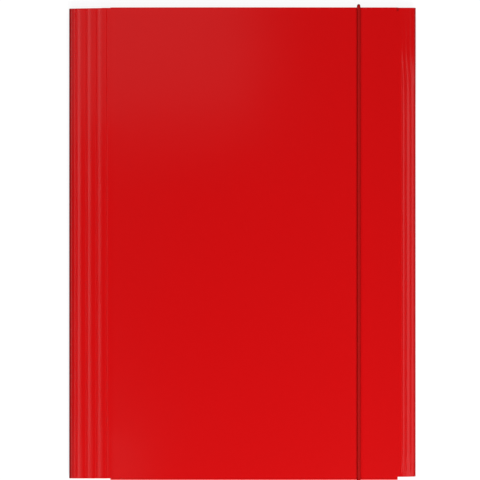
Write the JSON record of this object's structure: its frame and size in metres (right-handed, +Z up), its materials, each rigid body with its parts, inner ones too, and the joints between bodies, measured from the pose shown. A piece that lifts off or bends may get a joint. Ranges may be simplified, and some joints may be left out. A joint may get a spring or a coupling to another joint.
{
  "type": "elastic folder",
  "caption": "Flat A4 card folder with a creased spine strip and fore-edge lip, folded inner flaps and a round elastic cord over the front.",
  "frame": {"origin": "centre of the folder's footprint, on the surface that it lies on", "axes": "+X from the spine to the fore edge, +Y to the head, +Z up out of the front cover"},
  "size_m": [0.235, 0.325, 0.009],
  "materials": {
    "laminated_card": "gloss",
    "elastic": "matte",
    "cord_end_steel": "satin"
  },
  "bodies": {
    "back": {"back_cover": "laminated_card", "spine_fold": "laminated_card", "elastic_cord": "elastic", "cord_end_head": "cord_end_steel", "cord_end_foot": "cord_end_steel"},
    "front": {"front_cover": "laminated_card"}
  },
  "joints": [
    {"name": "cover_hinge", "type": "hinge", "parent": "back", "child": "front", "pos_m": [-0.1175, 0, 0.0045], "axis": [0, -1, 0], "range_deg": [0, 179], "deforming": ["spine_fold", "elastic_cord"]}
  ]
}
